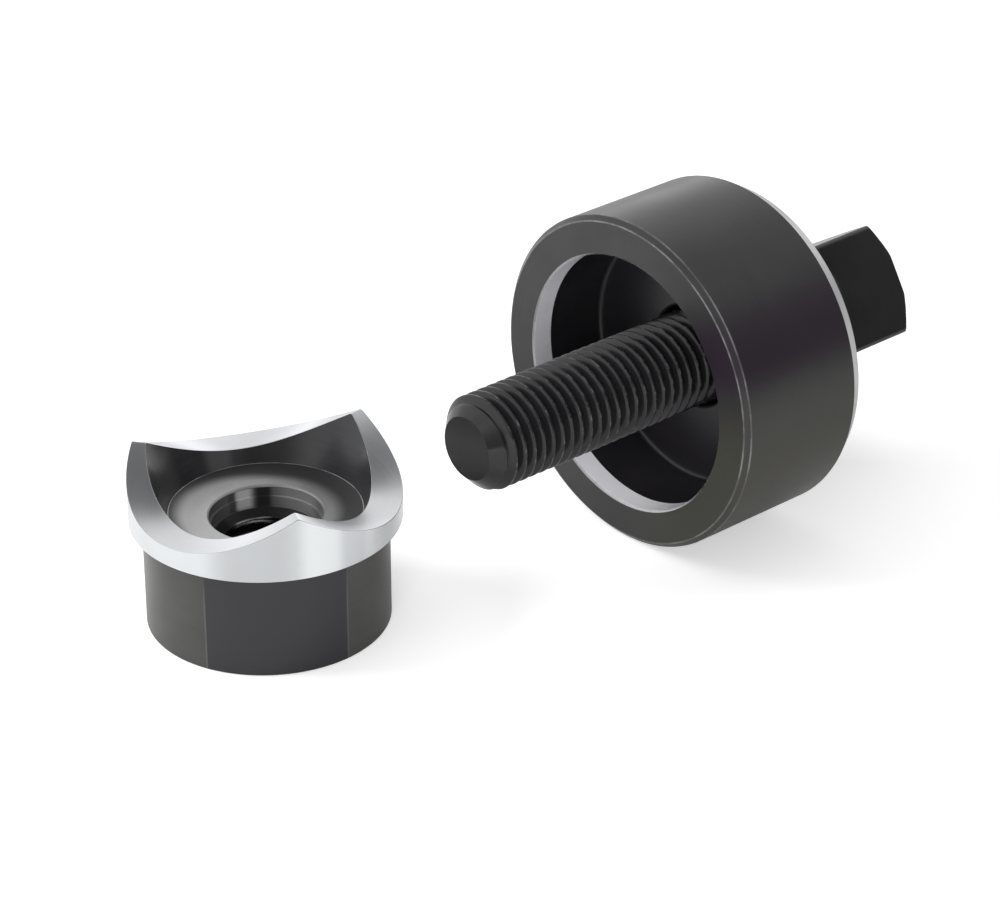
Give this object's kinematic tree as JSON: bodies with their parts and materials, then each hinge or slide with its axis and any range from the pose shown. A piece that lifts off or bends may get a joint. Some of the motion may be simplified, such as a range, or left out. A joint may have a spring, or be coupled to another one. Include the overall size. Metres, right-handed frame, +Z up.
{
  "type": "knockout punch",
  "caption": "Knockout punch set: a pointed ring punch, a cup-shaped die and a square-headed draw bolt on a thrust bearing, for pulling a round hole in sheet metal.",
  "frame": {"origin": "on the bench, below the middle of the set's bounding box", "axes": "+Z up; +X along the draw bolt from its free end to its square head; +Y away from the viewer"},
  "size_m": [0.1709, 0.0864, 0.0708],
  "materials": {
    "punch_steel": "black oxide, ground bright on the cutting ring",
    "die_steel": "satin black oxide, ground bright on the land in the mouth",
    "bolt_steel": "oiled black oxide",
    "bearing_steel": "ground and polished",
    "cage_steel": "pressed sheet"
  },
  "bodies": {
    "die": {"die": "die_steel"},
    "thrust_bearing": {"bearing_housing_washer": "bearing_steel"},
    "bolt": {"draw_bolt": "bolt_steel", "bearing_shaft_washer": "bearing_steel"},
    "ball_row": {"bearing_cage": "cage_steel", "bearing_balls": "bearing_steel"},
    "punch": {"punch": "punch_steel"}
  },
  "joints": [
    {"name": "bolt_withdrawal", "type": "slide", "parent": "die", "child": "thrust_bearing", "axis": [1, 0, 0], "range_m": [0, 0.08]},
    {"name": "bolt_turn", "type": "hinge", "parent": "thrust_bearing", "child": "bolt", "pos_m": [0.05385, -0.00785, 0.0354], "axis": [1, 0, 0], "continuous": true},
    {"name": "ball_row_turn", "type": "hinge", "parent": "thrust_bearing", "child": "ball_row", "pos_m": [0.05385, -0.00785, 0.0354], "axis": [1, 0, 0], "continuous": true},
    {"name": "punch_lift", "type": "slide", "parent": "die", "child": "punch", "axis": [0, 0, 1], "range_m": [0, 0.1]}
  ],
  "couplings": [
    {"joint": "ball_row_turn", "follows": "bolt_turn", "ratio": 0.5}
  ]
}
